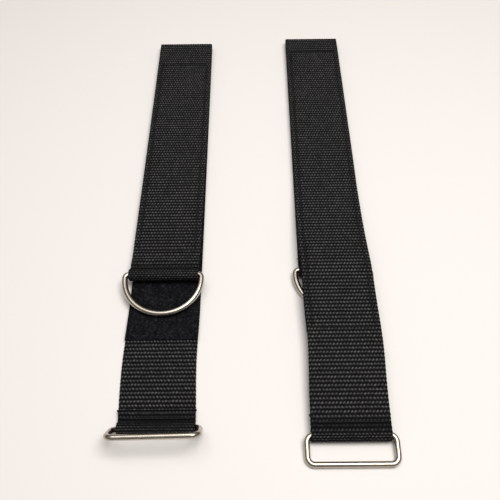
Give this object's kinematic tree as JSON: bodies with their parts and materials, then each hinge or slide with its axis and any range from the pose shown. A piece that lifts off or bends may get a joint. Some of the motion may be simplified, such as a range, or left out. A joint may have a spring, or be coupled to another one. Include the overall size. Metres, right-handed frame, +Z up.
{
  "type": "ankle cuff strap pair",
  "caption": "Folded webbing ankle cuffs with hook-and-loop lining, a strap ring at one end and a D-ring on the flap for clipping on a cable or band.",
  "frame": {"origin": "centre of the pair's bounding box, at the surface that it lies on", "axes": "+Y along the straps from the rings to the folds, +X to the right, +Z up"},
  "size_m": [0.1832, 0.4132, 0.0208],
  "materials": {
    "webbing": "black woven polypropylene webbing, slightly shiny yarns",
    "pile": "black brushed loop tape, matt and fuzzy",
    "hook": "black moulded nylon hooks on a woven backing",
    "thread": "black bonded nylon sewing thread",
    "nickel": "nickel-plated welded steel wire, polished"
  },
  "bodies": {
    "cuff_a_base": {"cuff_a_webbing_base": "webbing", "cuff_a_webbing_fold": "webbing", "cuff_a_pile_tape": "pile", "cuff_a_pile_seam": "thread", "cuff_a_ring_tab_seam": "thread"},
    "cuff_a_flap": {"cuff_a_webbing_flap": "webbing", "cuff_a_hook_tape": "hook", "cuff_a_hook_seam": "thread", "cuff_a_d_ring_tab_seam": "thread"},
    "cuff_a_d_ring": {"cuff_a_d_ring": "nickel"},
    "cuff_a_ring": {"cuff_a_strap_ring": "nickel"},
    "cuff_b_flap": {"cuff_b_webbing_flap": "webbing", "cuff_b_webbing_fold": "webbing", "cuff_b_hook_tape": "hook", "cuff_b_hook_seam": "thread", "cuff_b_d_ring_tab_seam": "thread"},
    "cuff_b_base": {"cuff_b_webbing_base": "webbing", "cuff_b_pile_tape": "pile", "cuff_b_pile_seam": "thread", "cuff_b_ring_tab_seam": "thread"},
    "cuff_b_d_ring": {"cuff_b_d_ring": "nickel"},
    "cuff_b_ring": {"cuff_b_strap_ring": "nickel"}
  },
  "joints": [
    {"name": "cuff_a_open", "type": "hinge", "parent": "cuff_a_base", "child": "cuff_a_flap", "pos_m": [-0.06, 0.19681, 0.0038], "axis": [-1, 0, 0], "range_deg": [0, 165], "deforming": ["cuff_a_webbing_fold"]},
    {"name": "cuff_a_d_ring_swing", "type": "hinge", "parent": "cuff_a_flap", "child": "cuff_a_d_ring", "pos_m": [-0.0621, -0.07139, 0.0091], "axis": [-1, 0, 0], "range_deg": [0, 175]},
    {"name": "cuff_a_ring_swing", "type": "hinge", "parent": "cuff_a_base", "child": "cuff_a_ring", "pos_m": [-0.06, -0.18239, 0.0044], "axis": [-1, 0, 0], "range_deg": [-63, 119]},
    {"name": "cuff_b_lift", "type": "slide", "parent": "cuff_a_base", "child": "cuff_b_flap", "axis": [0, 0, 1], "range_m": [0, 0.1]},
    {"name": "cuff_b_open", "type": "hinge", "parent": "cuff_b_flap", "child": "cuff_b_base", "pos_m": [0.062, 0.20281, 0.0038], "axis": [-1, 0, 0], "range_deg": [0, 165], "deforming": ["cuff_b_webbing_fold"]},
    {"name": "cuff_b_d_ring_swing", "type": "hinge", "parent": "cuff_b_flap", "child": "cuff_b_d_ring", "pos_m": [0.0608, -0.06639, 0.0046], "axis": [-1, 0, 0], "range_deg": [0, 6]},
    {"name": "cuff_b_ring_swing", "type": "hinge", "parent": "cuff_b_base", "child": "cuff_b_ring", "pos_m": [0.062, -0.18739, 0.0044], "axis": [-1, 0, 0], "range_deg": [0, 160]}
  ]
}
